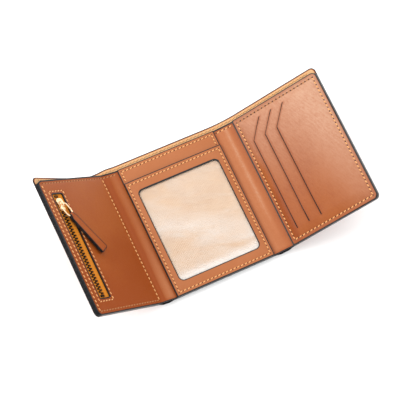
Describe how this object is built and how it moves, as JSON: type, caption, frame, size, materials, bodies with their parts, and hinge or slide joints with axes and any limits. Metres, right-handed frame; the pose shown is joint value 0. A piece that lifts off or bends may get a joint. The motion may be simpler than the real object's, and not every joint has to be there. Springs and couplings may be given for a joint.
{
  "type": "trifold wallet",
  "caption": "Open trifold wallet in tan leather with a full-width bill compartment, clear ID window, card slits on one wing and a zipped coin pocket on the other.",
  "frame": {"origin": "centre of the centre panel's back face, on the outer leather's underside", "axes": "+X towards the wing with the card slits, +Y towards the mouth of the bill compartment, +Z out of the inside face"},
  "size_m": [0.237, 0.115, 0.0625],
  "materials": {
    "tan_leather": "semi-gloss pull-up leather with black painted edges",
    "pale_leather": "the same leather, paler and glossier where it is bent and rubbed",
    "twill_lining": "fine diagonal twill",
    "pocket_cloth": "plain cotton twill",
    "clear_film": "clear soft film",
    "zip_tape": "woven orange zip tape",
    "zip_teeth": "antique brass",
    "gold_metal": "polished pale gold plate"
  },
  "bodies": {
    "centre": {"shell_centre": "tan_leather", "bill_lining_centre": "twill_lining", "inner_wall_centre": "tan_leather", "centre_card_panel": "tan_leather", "id_backing_cloth": "pocket_cloth", "id_window_film": "clear_film", "id_window_frame": "tan_leather"},
    "left_fold": {"shell_left_fold": "tan_leather", "bill_lining_left_fold": "twill_lining", "inner_wall_left_fold": "tan_leather"},
    "right_fold": {"shell_right_fold": "tan_leather", "bill_lining_right_fold": "twill_lining", "inner_wall_right_fold": "tan_leather"},
    "left_wing": {"shell_left_wing": "tan_leather", "bill_lining_left_wing": "twill_lining", "coin_bag_back": "pocket_cloth", "coin_bag_front": "pocket_cloth", "zip_tape_outer": "zip_tape", "zip_tape_inner": "zip_tape", "zip_teeth_outer": "zip_teeth", "zip_teeth_inner": "zip_teeth", "zip_top_stop": "gold_metal", "zip_bottom_stop": "gold_metal", "coin_panel": "tan_leather"},
    "right_wing": {"shell_right_wing": "tan_leather", "bill_lining_right_wing": "twill_lining", "inner_wall_right_wing": "tan_leather", "card_pocket_1": "pocket_cloth", "card_pocket_2": "pocket_cloth", "card_pocket_3": "pocket_cloth", "card_panel": "pale_leather"},
    "zip_slider": {"zip_slider": "gold_metal"},
    "pull_ring": {"pull_ring": "gold_metal"},
    "pull_tab": {"pull_tab": "tan_leather"}
  },
  "joints": [
    {"name": "left_fold", "type": "hinge", "parent": "centre", "child": "left_fold", "pos_m": [-0.0425, 0, 0.00435], "axis": [0, 1, 0], "range_deg": [-22, 64]},
    {"name": "left_wing_fold", "type": "hinge", "parent": "left_fold", "child": "left_wing", "pos_m": [-0.05502, 0, 0.00941], "axis": [0, 1, 0], "range_deg": [-22, 64]},
    {"name": "right_fold", "type": "hinge", "parent": "centre", "child": "right_fold", "pos_m": [0.0425, 0, 0.00435], "axis": [0, -1, 0], "range_deg": [-17, 75]},
    {"name": "right_wing_fold", "type": "hinge", "parent": "right_fold", "child": "right_wing", "pos_m": [0.05637, 0, 0.00859], "axis": [0, -1, 0], "range_deg": [-17, 75]},
    {"name": "zip_slide", "type": "slide", "parent": "left_wing", "child": "zip_slider", "axis": [0, -1, 0], "range_m": [0, 0.068]},
    {"name": "ring_lift", "type": "hinge", "parent": "zip_slider", "child": "pull_ring", "pos_m": [-0.09915, 0.0311, 0.05404], "axis": [0.6351, 0.4695, -0.6133], "range_deg": [-120, 0]},
    {"name": "tab_lift", "type": "hinge", "parent": "pull_ring", "child": "pull_tab", "pos_m": [-0.0957, 0.02209, 0.05071], "axis": [0.6351, 0.4695, -0.6133], "range_deg": [-60, 0]}
  ],
  "couplings": [
    {"joint": "left_wing_fold", "follows": "left_fold", "ratio": 1},
    {"joint": "right_wing_fold", "follows": "right_fold", "ratio": 1}
  ]
}
